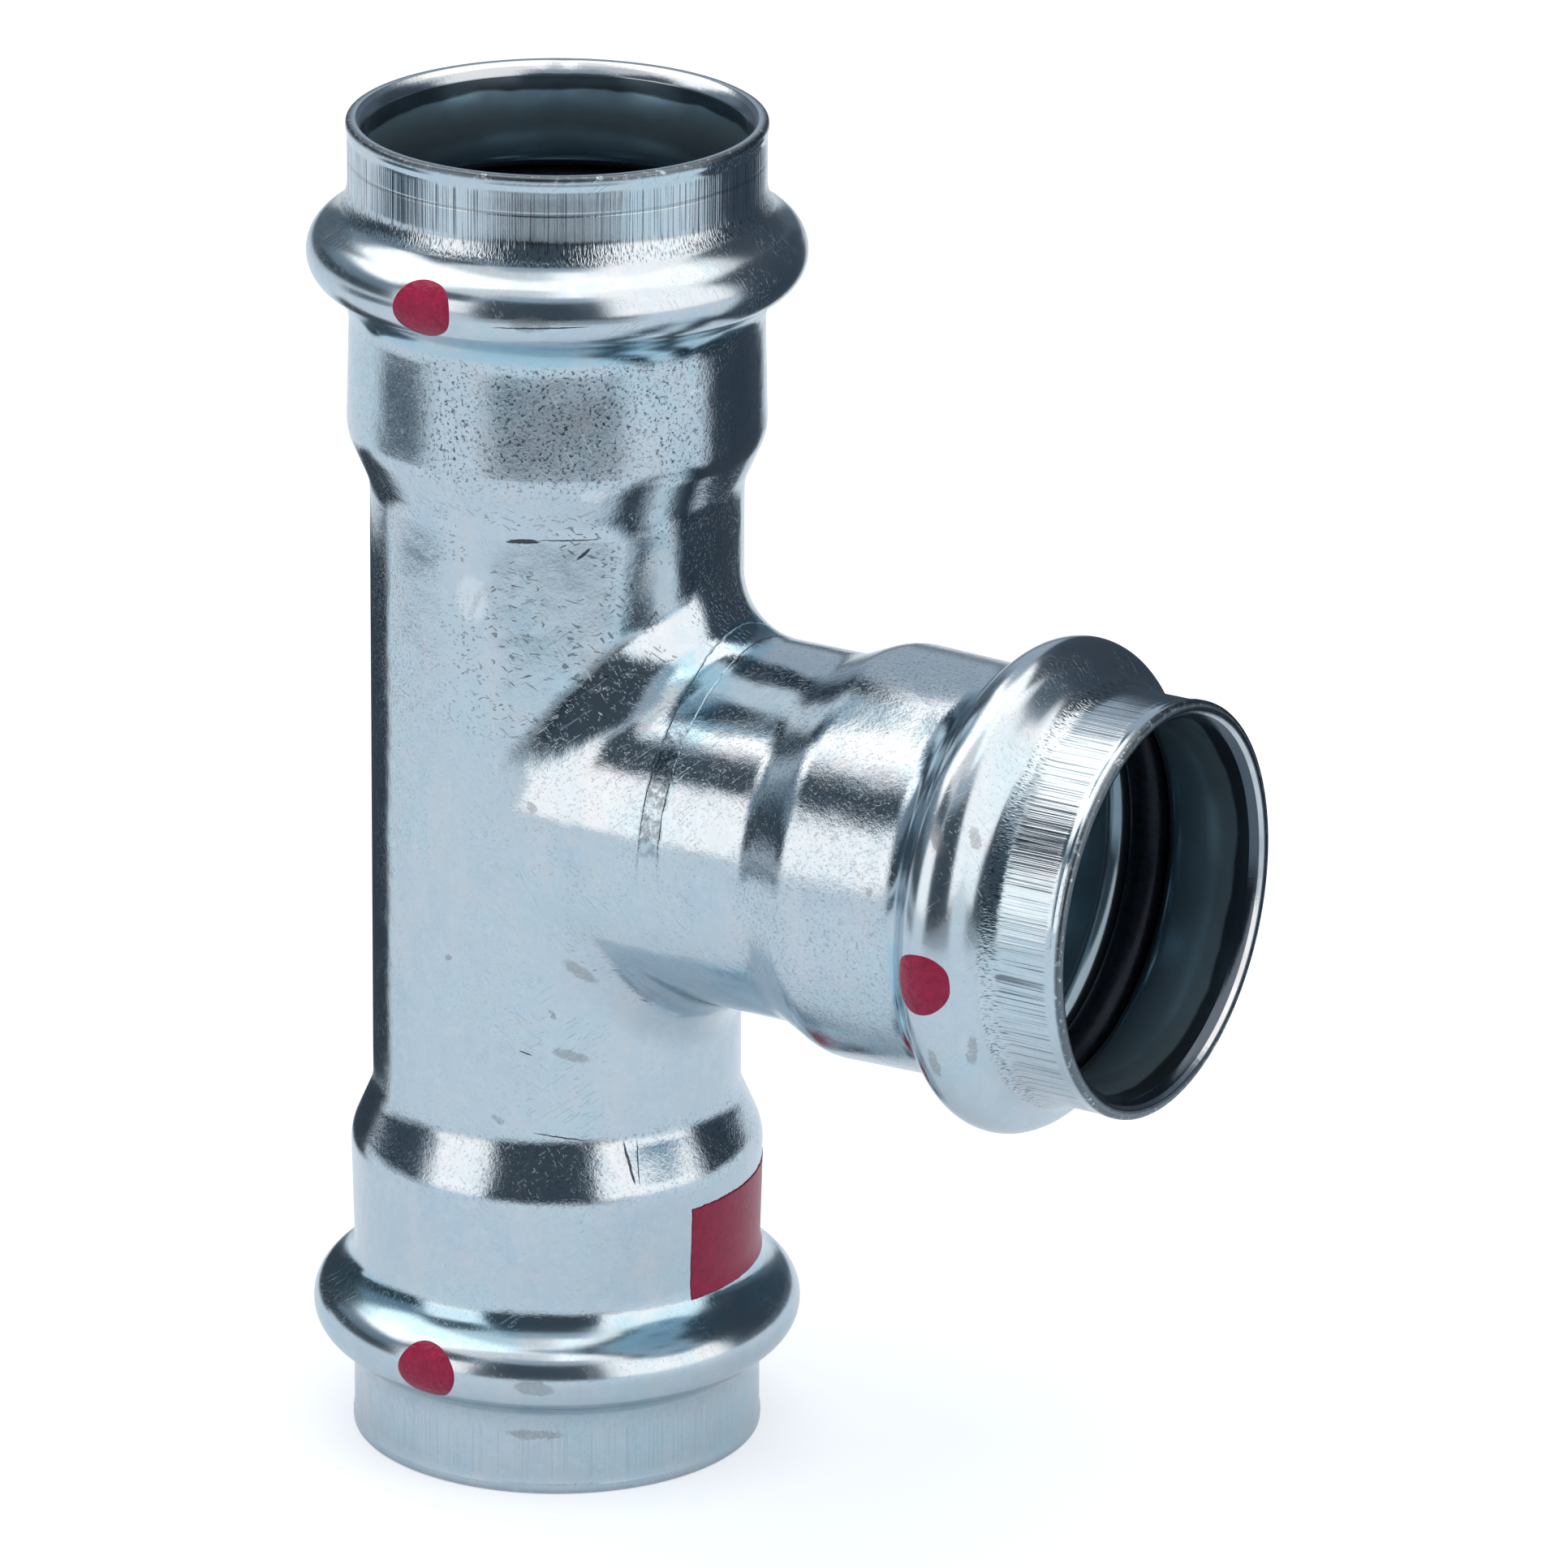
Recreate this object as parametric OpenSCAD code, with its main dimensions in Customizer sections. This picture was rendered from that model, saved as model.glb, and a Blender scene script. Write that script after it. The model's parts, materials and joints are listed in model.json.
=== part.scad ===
// Press tee with three equal sockets for a plain-ended pipe, in millimetres.
// A thin tube is formed into a straight run with a branch drawn out of its middle. Each end is
// widened to a socket and rolled into a hollow bead that holds a seal ring.
// The tee stands on its lower mouth: +Z is up the run, +X is out along the branch.

/* [Pipe and wall] */
// Outer diameter of the pipe that each socket takes
pipe_od = 28; // [22:0.5:35]
// Radial play of the pipe in a socket
pipe_play = 0.15; // [0.1:0.01:0.3]
// Thickness of the tube wall
wall = 1.5; // [1.2:0.05:1.7]
// Outer diameter of the tube between the sockets
tube_od = 28; // [26:0.1:29]

/* [Lengths] */
// Length of the run from mouth to mouth
run_length = 104; // [98:0.5:130]
// Distance from the run's axis to the branch's mouth
branch_reach = 52.7; // [50:0.1:75]

/* [Socket] */
// Distance from the mouth to the start of the taper, where the pipe stops
socket_depth = 23.1; // [21:0.1:26]
// How much more the socket's radius is at the taper than just behind the bead
socket_swell = 0.19; // [0:0.01:0.3]
// Slope of the taper against the axis
taper_angle = 23.5; // [18:0.5:32]
// Radius of the outer shoulder where the socket turns into the taper
shoulder_round = 4; // [3:0.1:5]
// Radius of the outer hollow where the taper turns into the tube
root_round = 4; // [2:0.1:5]

/* [Mouth] */
// Depth of the bevel inside the mouth
bevel_depth = 0.9; // [0.4:0.05:1.5]
// Width of the bevel across the mouth's end face
bevel_width = 0.75; // [0.3:0.05:0.9]
// How far the turned-over lip stands proud of the guide
lip_height = 0.1; // [0:0.01:0.2]
// Length of the lip along the axis
lip_length = 1.1; // [0.8:0.1:2]
// Rounding of the mouth's outer edge
lip_round = 0.3; // [0.1:0.05:0.4]

/* [Bead] */
// Distance from the mouth to the middle of the bead
bead_pos = 10.1; // [9:0.1:11]
// Height of the bead over the guide
bead_height = 3.08; // [2.9:0.02:3.4]
// Radius of the bead's round crest
crest_round = 2.7; // [2.5:0.05:2.9]
// Radius of the hollow on each side of the bead
bead_fillet = 3.4; // [3:0.1:4]

/* [Seal ring] */
// Thickness of the seal ring's round section
seal_section = 3.1; // [2.9:0.05:3.2]
// How far the seal ring stands into the socket
seal_proud = 0.1; // [0.05:0.01:0.12]
// Clearance between the seal ring and its groove
seal_gap = 0.05; // [0.02:0.01:0.08]

/* [Branch root] */
// Radius of the outer fillet in the crotch between run and branch
crotch_round = 5; // [3:0.25:6.5]
// How late that fillet fades out on its way to the sides of the tubes
crotch_fade = 4; // [2:0.5:5]

/* [Paint] */
// How far the paint stands proud of the steel
paint_thickness = 0.08; // [0.05:0.01:0.15]
// Diameter of the dot on each bead
dot_diameter = 4.9; // [3:0.1:5.5]
// Angle by which the branch's dot sits below the middle of its side
branch_dot_drop = 6; // [-20:1:20]
// Height of the printed block on the lower socket
block_height = 7.4; // [4:0.1:7.6]
// Distance from the lower mouth to the printed block
block_pos = 14.4; // [13:0.1:15]
// Direction in which the printed block starts, against the branch
block_start = -17; // [-60:1:60]
// Arc that the printed block covers
block_arc = 100; // [30:5:180]

/* [Hidden] */

$fn = 96;
// Steps in each small arc of a section
arc_steps = 6;
// Steps round the bead's crest and the groove, which turn through more than half a circle
crest_steps = 14;
// How far a cutter or a hidden face runs past what it meets
over = 1;
// Gap between the steel and the underside of the paint
paint_gap = 0.01;

branch_height = run_length / 2;
tube_r = tube_od / 2;
bore_r = pipe_od / 2 + pipe_play;
guide_r = bore_r + wall - lip_height;
socket_r = guide_r + lip_height + 0.04;
neck_r = socket_r - socket_swell;
passage_r = tube_r - wall;
// The branch is a hair slimmer than the run, as its wall is drawn out of it
branch_ease = 0.02;

crest_r = guide_r + bead_height;
crest_centre = crest_r - crest_round;
groove_round = seal_section / 2 + seal_gap;
seal_centre = bore_r - seal_proud + seal_section / 2;
groove_lip = bead_fillet - wall;

// Steps across a crotch fillet, and the widest angle it reaches on the tube
fillet_rings = 28;
fillet_span = 84;
// How far the edges of a crotch fillet sink into the tubes, so that they meet cleanly
fillet_sink = 0.06;
// How far its two ends dive into the tubes, next to what they need for their radius
fillet_dive = 0.1;

metal = [0.76, 0.82, 0.86];
rubber = [0.06, 0.06, 0.07];
red_paint = [0.72, 0.1, 0.24];

function reversed(list) = [for (i = [len(list) - 1:-1:0]) list[i]];

// Points of an arc about (r, d), where d is the distance from the mouth
function arc(r, d, radius, from, to, steps) = [
    for (i = [0:steps])
        let (a = from + (to - from) * i / steps)
        [r + radius * cos(a), d + radius * sin(a)]
];

// Distance along the axis between two arcs that touch: their radii add up to sum, and their centres
// lie step apart across the axis
function arc_run(sum, step) = sqrt(sum * sum - step * step);

// Outer outline of the bead from hollow to hollow, moved outwards by skin
function bead_outline(skin) =
    let (
        sum = crest_round + bead_fillet,
        front_step = guide_r + bead_fillet - crest_centre,
        back_step = neck_r + bead_fillet - crest_centre,
        front = asin(front_step / sum),
        back = asin(back_step / sum)
    )
    concat(
        arc(guide_r + bead_fillet, bead_pos - arc_run(sum, front_step), bead_fillet - skin,
            180, 90 + front, arc_steps),
        arc(crest_centre, bead_pos, crest_round + skin, front - 90, 90 - back, crest_steps),
        arc(neck_r + bead_fillet, bead_pos + arc_run(sum, back_step), bead_fillet - skin,
            270 - back, 180, arc_steps)
    );

// S-shaped taper from radius big to radius small, which starts at distance d with its shoulder.
// Its two arcs turn no further than the step between the radii lets them.
function taper_outline(big, small, d, shoulder, root) =
    let (
        step = big - small,
        side = sign(step),
        turn = acos(max(cos(taper_angle), 1 - abs(step) / (shoulder + root))),
        slant = (abs(step) - (shoulder + root) * (1 - cos(turn))) / sin(turn),
        reach = (shoulder + root) * sin(turn) + slant * cos(turn)
    )
    concat(
        arc(big - side * shoulder, d, side * shoulder, 0, side * turn, arc_steps),
        arc(small + side * root, d + reach, side * root, 180 + side * turn, 180, arc_steps)
    );

// Outer outline of one end, from the mouth's end face to the tube
function end_outline() = concat(
    [[guide_r + lip_height - lip_round, 0]],
    [[guide_r + lip_height, lip_round]],
    [[guide_r, lip_length]],
    bead_outline(0),
    taper_outline(socket_r, tube_r, socket_depth, shoulder_round, root_round)
);

// Outline of the hollow of one end: bevel, bore with the seal's groove, and the stop
function hollow_outline() =
    let (
        sum = groove_round + groove_lip,
        step = bore_r + groove_lip - seal_centre,
        half = arc_run(sum, step),
        lean = asin(step / sum)
    )
    concat(
        [[bore_r + bevel_width, 0]],
        [[bore_r, bevel_depth]],
        arc(bore_r + groove_lip, bead_pos - half, groove_lip, 180, 90 + lean, arc_steps),
        arc(seal_centre, bead_pos, groove_round, lean - 90, 90 - lean, crest_steps),
        arc(bore_r + groove_lip, bead_pos + half, groove_lip, 270 - lean, 180, arc_steps),
        taper_outline(bore_r, passage_r, socket_depth, shoulder_round - wall, root_round + wall)
    );

// Solid of revolution under an outline, from distance start to the outline's end
module turned(outline, start) {
    last = outline[len(outline) - 1];
    rotate_extrude()
        polygon(concat([[0, start], [outline[0][0], start]], outline, [[0, last[1]]]));
}

// Children stand at the lower mouth, the upper mouth or the branch's mouth, facing inwards
module at_lower() {
    children();
}

module at_upper() {
    translate([0, 0, run_length])
        mirror([0, 0, 1])
            children();
}

module at_branch() {
    translate([branch_reach, 0, branch_height])
        rotate([0, -90, 0])
            children();
}

module at_ends() {
    at_lower() children();
    at_upper() children();
    at_branch() children();
}

// Section of a crotch fillet across the tubes at height run_x and branch_z, with radius rho
function fillet_section(run_x, branch_z, rho) = concat(
    [[run_x - fillet_sink, branch_z + rho]],
    [
        for (i = [1:arc_steps + 1])
            let (a = 180 + 90 * i / (arc_steps + 2))
            [run_x + rho + rho * cos(a), branch_z + rho + rho * sin(a)]
    ],
    [[run_x + rho, branch_z - fillet_sink]],
    [[run_x - over / 2, branch_z - over / 2]]
);

// Radius of a crotch fillet at angle t from the crotch
function fillet_radius(radius, t) = radius * (1 - pow(abs(t) / 90, crotch_fade));

// Fillet between run and branch tubes of radius r, whose radius shrinks from the crotch to the sides
module crotch_fillet(r, radius) {
    slim = r - branch_ease;
    sections = [
        for (k = [0:fillet_rings])
            let (
                t = -fillet_span + 2 * fillet_span * k / fillet_rings,
                y = r * sin(t),
                rho = fillet_radius(radius, t),
                dive = k == 0 || k == fillet_rings ? 0.4 * rho + fillet_dive : 0,
                run_x = sqrt(r * r - y * y) - dive,
                branch_z = sqrt(slim * slim - y * y) - dive
            )
            [for (p = fillet_section(run_x, branch_z, rho)) [p[0], y, p[1]]]
    ];
    count = len(sections[0]);
    points = [for (section = sections) each section];
    sides = [
        for (k = [0:fillet_rings - 1], i = [0:count - 1])
            let (next = (i + 1) % count, near = k * count, far = near + count)
            each [[near + i, far + next, near + next], [near + i, far + i, far + next]]
    ];
    first = [for (i = [0:count - 1]) i];
    last = reversed([for (i = first) fillet_rings * count + i]);
    polyhedron(points, concat(sides, [first, last]), convexity = 6);
}

// Run and branch tubes of radius r with a fillet in both crotches, from taper to taper
module tee_core(r, radius) {
    translate([0, 0, socket_depth])
        cylinder(r = r, h = run_length - 2 * socket_depth);
    translate([0, 0, branch_height])
        rotate([0, 90, 0])
            cylinder(r = r - branch_ease, h = branch_reach - socket_depth);
    translate([0, 0, branch_height]) {
        crotch_fillet(r, radius);
        mirror([0, 0, 1]) crotch_fillet(r, radius);
    }
}

module tee_body() {
    color(metal)
        difference() {
            union() {
                tee_core(tube_r, crotch_round);
                at_ends() turned(end_outline(), 0);
            }
            tee_core(passage_r, crotch_round + wall);
            at_ends() turned(hollow_outline(), -over);
        }
}

// Seal ring of round section, in the groove inside the bead
module seal_ring() {
    color(rubber)
        rotate_extrude()
            translate([seal_centre, bead_pos]) circle(r = seal_section / 2);
}

// Round dot of paint on the bead, on the side towards -Y
module paint_dot() {
    color(red_paint)
        intersection() {
            rotate_extrude()
                polygon(concat(bead_outline(paint_thickness), reversed(bead_outline(paint_gap))));
            translate([0, 0, bead_pos])
                rotate([90, 0, 0])
                    cylinder(d = dot_diameter, h = crest_r + over);
        }
}

// Outer outline of the socket from the bead to the taper, moved outwards by skin
function socket_skin(skin) = concat(
    bead_outline(skin),
    [[socket_r + skin, socket_depth]]
);

// Plain printed block, a thin sheet of paint that wraps round the lower socket
module printed_block() {
    color(red_paint)
        rotate([0, 0, block_start])
            rotate_extrude(angle = block_arc)
                intersection() {
                    polygon(concat(socket_skin(paint_thickness), reversed(socket_skin(paint_gap))));
                    translate([0, block_pos])
                        square([crest_r + over, block_height]);
                }
}

tee_body();
at_upper() seal_ring();  // upper_seal_ring
at_lower() seal_ring();  // lower_seal_ring
at_branch() seal_ring();  // branch_seal_ring
at_upper() paint_dot();  // upper_paint_dot
at_lower() paint_dot();  // lower_paint_dot
at_branch() rotate([0, 0, branch_dot_drop]) paint_dot();  // branch_paint_dot
at_lower() printed_block();
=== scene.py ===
"""Looks of the press tee: a formed, zinc-plated steel tube with three beaded sockets, black seal
rings in the beads, and crimson paint marks. It stands on its lower mouth on a pale floor."""

import json
import math

import bmesh
import bpy
import numpy as np
from mathutils import Matrix, Vector


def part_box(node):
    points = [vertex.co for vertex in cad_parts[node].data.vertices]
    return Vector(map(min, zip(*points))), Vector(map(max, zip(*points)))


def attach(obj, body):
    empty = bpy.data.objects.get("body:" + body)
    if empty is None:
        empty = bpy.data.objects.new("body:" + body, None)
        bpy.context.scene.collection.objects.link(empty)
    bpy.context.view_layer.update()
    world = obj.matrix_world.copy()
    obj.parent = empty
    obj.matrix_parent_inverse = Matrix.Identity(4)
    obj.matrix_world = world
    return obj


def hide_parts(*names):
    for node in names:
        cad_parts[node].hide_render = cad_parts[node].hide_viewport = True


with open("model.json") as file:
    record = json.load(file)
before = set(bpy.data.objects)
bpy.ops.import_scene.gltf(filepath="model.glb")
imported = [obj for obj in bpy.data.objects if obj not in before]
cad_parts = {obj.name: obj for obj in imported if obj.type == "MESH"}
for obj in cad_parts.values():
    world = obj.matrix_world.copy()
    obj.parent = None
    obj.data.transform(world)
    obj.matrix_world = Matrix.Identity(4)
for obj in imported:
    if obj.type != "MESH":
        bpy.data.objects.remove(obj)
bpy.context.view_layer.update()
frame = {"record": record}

MM = 0.001

# Sizes read from the frame, in millimetres
body_low, body_high = (np.array(corner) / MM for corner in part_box("tee_body"))
ring_low, ring_high = (np.array(corner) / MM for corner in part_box("upper_seal_ring"))
run_length = body_high[2] - body_low[2]
branch_reach = body_high[0]
branch_height = run_length / 2
crest_r = -body_low[0]
bore_r = next(m["dims"]["r_mm"] for m in frame["record"]["mounts"] if m["name"] == "upper_socket")
seal_section = ring_high[2] - ring_low[2]
seal_centre = ring_high[0] - seal_section / 2
bead_pos = run_length - (ring_high[2] + ring_low[2]) / 2

# Sizes of the tube wall and of one end, in millimetres, and the taper's angle in degrees
wall = 1.5
tube_r = 14.0
socket_depth = 23.1
socket_swell = 0.19
taper_angle = 23.5
shoulder_round = 4.0
root_round = 4.0
bevel_depth = 0.9
bevel_width = 0.75
lip_height = 0.1
lip_length = 1.1
lip_slope = 0.35
lip_land = 0.05
lip_round = 0.3
crest_round = 2.7
bead_fillet = 3.4
groove_gap = 0.05
groove_land = 0.1
socket_rise = 0.04

# Fillet between run and branch: its radius in the crotch, and the power of its fade to the sides
crotch_round = 5.0
crotch_fade = 4

# How far a crisp corner is cut back on both sides
corner_ease = 0.05

guide_r = bore_r + wall - lip_height
socket_r = bore_r + wall + socket_rise
neck_r = socket_r - socket_swell
passage_r = tube_r - wall

# Paint: its underside and height over the steel, in millimetres
paint_low = 0.01
paint_height = 0.06

# Dots: radius, waver of the rim as a share of it, count and size of the lumps, and the angle of
# each dot round its end in degrees, from +X on the run and from +Z on the branch
dot_radius = 2.45
dot_waver = 0.035
dot_lumps = 4
lump_spread = 1.6
lump_waves = 3
lump_size = 0.05
dab_level = 0.8
phase_range = 6.28
dot_angles = {"upper": -90, "lower": -90, "branch": -96}
first_dot_seed = 3

# Printed block: first angle and arc in degrees; distance from the mouth, height and waver of its
# edges in millimetres. The edge near the mouth wavers less, and the print is thinner than a dot
block_start = -17.0
block_arc = 100.0
block_pos = 14.4
block_height = 7.4
block_waver = 0.03
block_side_waver = 0.025
block_side_bends = 12
near_edge_share = 0.6
block_paint_share = 0.6
block_seed = 11

# Grid of the tee's surface: columns round each tube, and rows over the part where the tubes meet
columns = 192
core_rows = 20
core_reach = 19.5

# Points that round to the same cell of this size, in millimetres, are joined, which closes the
# seams between the three sleeves
join_cell = 0.002

# The tube's own welded seam, a faint ridge inside the run that the grooves interrupt: its angle and
# half width in radians, its height, where it ends at the groove and how fast, in millimetres
weld_angle = math.radians(121)
weld_width = 0.06
weld_height = 0.12
weld_end = 6.3
weld_fade = 1.2

# Seal rings: steps round the ring and round its section, and the moulding flash on the inner side,
# as its height in millimetres and its half width in radians
ring_steps = 144
section_steps = 36
flash_height = 0.04
flash_width = 0.09


def arc(centre_r, centre_d, radius, start, end, steps):
    """Points (r, d) of an arc about (centre_r, centre_d), turned from start to end in degrees."""
    angle = np.radians(np.linspace(start, end, steps + 1))
    return np.stack([centre_r + radius * np.cos(angle), centre_d + radius * np.sin(angle)], axis=1)


def eased(points, size):
    """A polyline whose inner corners are cut back by size on both sides, to shade crisply."""
    points = np.array(points, float)
    before = points[:-2] - points[1:-1]
    after = points[2:] - points[1:-1]
    before *= size / np.linalg.norm(before, axis=1, keepdims=True)
    after *= size / np.linalg.norm(after, axis=1, keepdims=True)
    corners = np.stack([points[1:-1] + before, points[1:-1] + after], axis=1).reshape(-1, 2)
    return np.concatenate([points[:1], corners, points[-1:]])


def straight(start, end, steps):
    """Points (r, d) spaced evenly from start to end, both ends left out."""
    share = np.linspace(0, 1, steps + 2)[1:-1, None]
    return np.array(start) * (1 - share) + np.array(end) * share


def taper(big, small, shoulder, root):
    """S-shaped taper: an arc of radius shoulder, a straight slant and an arc of radius root."""
    turn = math.radians(taper_angle)
    slant = (big - small - (shoulder + root) * (1 - math.cos(turn))) / math.sin(turn)
    reach = (shoulder + root) * math.sin(turn) + slant * math.cos(turn)
    return np.concatenate([
        arc(big - shoulder, socket_depth, shoulder, 0, taper_angle, 6),
        arc(small + root, socket_depth + reach, root, 180 + taper_angle, 180, 6),
    ])


def outer_outline():
    """Outer outline (r, d) of one end from the middle of its end face to the tube: a rounded lip, a
    straight guide, a hollow, a round crest, a hollow, the socket and the taper, all tangent arcs."""
    total = crest_round + bead_fillet
    crest_centre = crest_r - crest_round
    front_step = guide_r + bead_fillet - crest_centre
    back_step = neck_r + bead_fillet - crest_centre
    front = math.degrees(math.asin(front_step / total))
    back = math.degrees(math.asin(back_step / total))
    front_centre = bead_pos - math.sqrt(total ** 2 - front_step ** 2)
    back_centre = bead_pos + math.sqrt(total ** 2 - back_step ** 2)
    lip_r = guide_r + lip_height
    return np.concatenate([
        arc(lip_r - lip_round, lip_round, lip_round, -90, 0, 4),
        eased([[lip_r, lip_round + lip_land], [lip_r, lip_length - lip_slope], [guide_r, lip_length]],
              corner_ease),
        straight([guide_r, lip_length], [guide_r, front_centre], 4),
        arc(guide_r + bead_fillet, front_centre, bead_fillet, 180, 90 + front, 7),
        arc(crest_centre, bead_pos, crest_round, front - 90, 90 - back, 26)[1:-1],
        arc(neck_r + bead_fillet, back_centre, bead_fillet, 270 - back, 180, 7),
        straight([neck_r, back_centre], [socket_r, socket_depth], 3),
        taper(socket_r, tube_r, shoulder_round, root_round),
    ])


def inner_outline():
    """Inner outline (r, d) of one end from the middle of its end face to the passage: the bevel, the
    bore, the round groove of the seal ring with its turned-in lips, and the stop."""
    groove_round = seal_section / 2 + groove_gap
    groove_lip = bead_fillet - wall
    total = groove_round + groove_lip
    step = bore_r + groove_lip - seal_centre
    half = math.sqrt(total ** 2 - step ** 2)
    lean = math.degrees(math.asin(step / total))
    lip_r = guide_r + lip_height - lip_round
    bevel_r = bore_r + bevel_width
    mouth = [[(lip_r + bevel_r) / 2, 0], [bevel_r, 0], [bore_r, bevel_depth],
             [bore_r, bead_pos - half - groove_land]]
    return np.concatenate([
        eased(mouth, corner_ease),
        arc(bore_r + groove_lip, bead_pos - half, groove_lip, 180, 90 + lean, 5),
        arc(seal_centre, bead_pos, groove_round, lean - 90, 90 - lean, 12)[1:-1],
        arc(bore_r + groove_lip, bead_pos + half, groove_lip, 270 - lean, 180, 5),
        straight([bore_r, bead_pos + half], [bore_r, socket_depth], 2),
        taper(bore_r, passage_r, shoulder_round - wall, root_round + wall),
    ])


def core(angle, radius, fillet, own_reach):
    """Rows of a tube's skin between the other tube and its own taper, as distance u along its axis
    and height w towards the other tube. Both tubes have the same radius and meet in a fillet of
    radius p = fillet * (1 - (turn / 90 degrees)^4), where turn is the angle from the crotch. The
    fillet's centre is c = radius * |cos(angle)| + p in u and w, so that
    w = c - sqrt(p^2 - (c - u)^2) on the fillet and w = c - p beyond it."""
    share = np.linspace(0, 1, core_rows + 1)[:, None]
    turn = np.arcsin(np.abs(np.sin(angle)))
    rounding = fillet * (1 - (turn / (math.pi / 2)) ** crotch_fade)
    centre = radius * np.abs(np.cos(angle)) + rounding
    seam = centre - rounding / math.sqrt(2)
    u = seam + (core_reach - seam) * share
    w = centre - np.sqrt(rounding ** 2 - np.clip(centre - u, 0, rounding) ** 2)
    middle = np.full((1, len(angle)), (core_reach + own_reach) / 2)
    return np.concatenate([u, middle]), np.concatenate([w, w[-1:]])


def back_core(angle, radius, own_reach):
    """Rows of the run's plain back half, from the branch's height to the taper, where the height
    towards the branch is w = radius * cos(angle)."""
    u = np.linspace(0, core_reach, core_rows + 1)[:, None] * np.ones_like(angle)
    middle = np.full((1, len(angle)), (core_reach + own_reach) / 2)
    u = np.concatenate([u, middle])
    return u, radius * np.cos(angle) * np.ones_like(u)


def run_skin(angle, radius, fillet, side, reach):
    """Core rows of an upper (side 1) or lower (side -1) half of the run, as points: x is the height
    w, y is radius * sin(angle), and z lies u above or below the branch's axis."""
    u, w = core(angle, radius, fillet, reach)
    back_u, back_w = back_core(angle, radius, reach)
    facing = np.cos(angle) > 1e-9  # the two columns at the sides belong to the back half
    u, w = np.where(facing, u, back_u), np.where(facing, w, back_w)
    y = radius * np.sin(angle) * np.ones_like(u)
    return np.stack([w, y, branch_height + side * u], axis=-1), branch_height - u


def branch_skin(angle, radius, fillet, reach):
    """Core rows of the branch, as points: x is u, y is radius * sin(angle), and z lies w above or
    below the branch's axis."""
    u, w = core(angle, radius, fillet, reach)
    up = np.where(np.cos(angle) >= 0, 1.0, -1.0)
    y = radius * np.sin(angle) * np.ones_like(u)
    return np.stack([u, y, branch_height + up * w], axis=-1), branch_reach - u


def place_on_end(r, d, around, kind):
    """Points of one end at radius r, distance d from the mouth and angle around, in radians: from +X
    on the run, and from +Z on the branch."""
    ahead, across = r * np.cos(around), r * np.sin(around)
    if kind == "branch":
        return np.stack([branch_reach - d, across, branch_height + ahead], axis=-1)
    return np.stack([ahead, across, run_length - d if kind == "upper" else d], axis=-1)


def end_skin(outline, angle, kind):
    """An outline (r, d) turned round the axis of the upper, lower or branch end, as points, and the
    distance of each from the mouth."""
    r, d = outline[:, :1], outline[:, 1:] * np.ones_like(angle)
    return place_on_end(r, d, angle, kind), d


def sleeve(kind):
    """One third of the tee as a grid of points: from its outer seam with the other two along the
    outside to the mouth, and back along the inside to the inner seam. Also each point's distance
    from the mouth, and 1 where it is inside. The weld ridge is a bell curve over the angle."""
    angle = np.linspace(0, 2 * math.pi, columns, endpoint=False)
    outer, inner = outer_outline(), inner_outline()
    reach = (branch_reach if kind == "branch" else branch_height) - outer[-1, 1]
    if kind == "branch":
        out_core, out_depth = branch_skin(angle, tube_r, crotch_round, reach)
        in_core, in_depth = branch_skin(angle, passage_r, crotch_round + wall, reach)
    else:
        side = 1 if kind == "upper" else -1
        out_core, out_depth = run_skin(angle, tube_r, crotch_round, side, reach)
        in_core, in_depth = run_skin(angle, passage_r, crotch_round + wall, side, reach)
    out_end, out_end_depth = end_skin(outer[::-1], angle, kind)
    in_end, in_end_depth = end_skin(inner, angle, kind)
    points = np.concatenate([out_core, out_end, in_end, in_core[::-1]])
    depth = np.concatenate([out_depth, out_end_depth, in_end_depth, in_depth[::-1]])
    inside = np.zeros(depth.shape)
    inside[len(out_core) + len(out_end):] = 1
    if kind != "branch":
        turn = (angle - weld_angle + math.pi) % (2 * math.pi) - math.pi
        fade = np.clip((weld_end - depth) / weld_fade, 0, 1) + np.clip(depth - socket_depth + 1, 0, 1)
        ridge = weld_height * np.exp(-(turn / weld_width) ** 2) * inside * fade
        points[..., 0] -= ridge * np.cos(angle)
        points[..., 1] -= ridge * np.sin(angle)
    return points, depth, inside


def quads(rows, cols, start, flipped, wrap_rows=False):
    """Faces of a grid whose columns close on themselves, and its rows too with wrap_rows. The grid's
    first point has the number start, and flipped turns the faces round."""
    row = np.arange(rows if wrap_rows else rows - 1)[:, None]
    col = np.arange(cols)[None, :]
    next_row, next_col = (row + 1) % rows, (col + 1) % cols
    corners = [row * cols + col, row * cols + next_col,
               next_row * cols + next_col, next_row * cols + col]
    faces = np.stack([np.broadcast_to(c, (len(row), cols)) for c in corners], axis=-1).reshape(-1, 4)
    return start + (faces[:, ::-1] if flipped else faces)


def make_piece(name, points, faces, attributes=(), outward=False):
    """A smooth mesh object at the origin from points in millimetres. With outward its faces are
    turned to point out of the closed shape."""
    mesh = bpy.data.meshes.new(name)
    mesh.from_pydata((points * MM).tolist(), [], [list(face) for face in faces])
    for label, values in attributes:
        layer = mesh.attributes.new(label, "FLOAT", "POINT")
        layer.data.foreach_set("value", np.asarray(values, np.float32).ravel())
    mesh.validate()
    if outward:
        shape = bmesh.new()
        shape.from_mesh(mesh)
        bmesh.ops.recalc_face_normals(shape, faces=shape.faces)
        shape.to_mesh(mesh)
        shape.free()
    mesh.shade_smooth()
    piece = bpy.data.objects.new(name, mesh)
    bpy.context.scene.collection.objects.link(piece)
    return piece


def joined(points, faces, attributes):
    """The points with those in the same cell made one, and the faces and values renumbered."""
    keys = np.round(points / join_cell).astype(np.int64)
    first, index = np.unique(keys, axis=0, return_index=True, return_inverse=True)[1:]
    index = index.reshape(-1)
    return points[first], index[faces], [(label, values[first]) for label, values in attributes]


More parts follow.
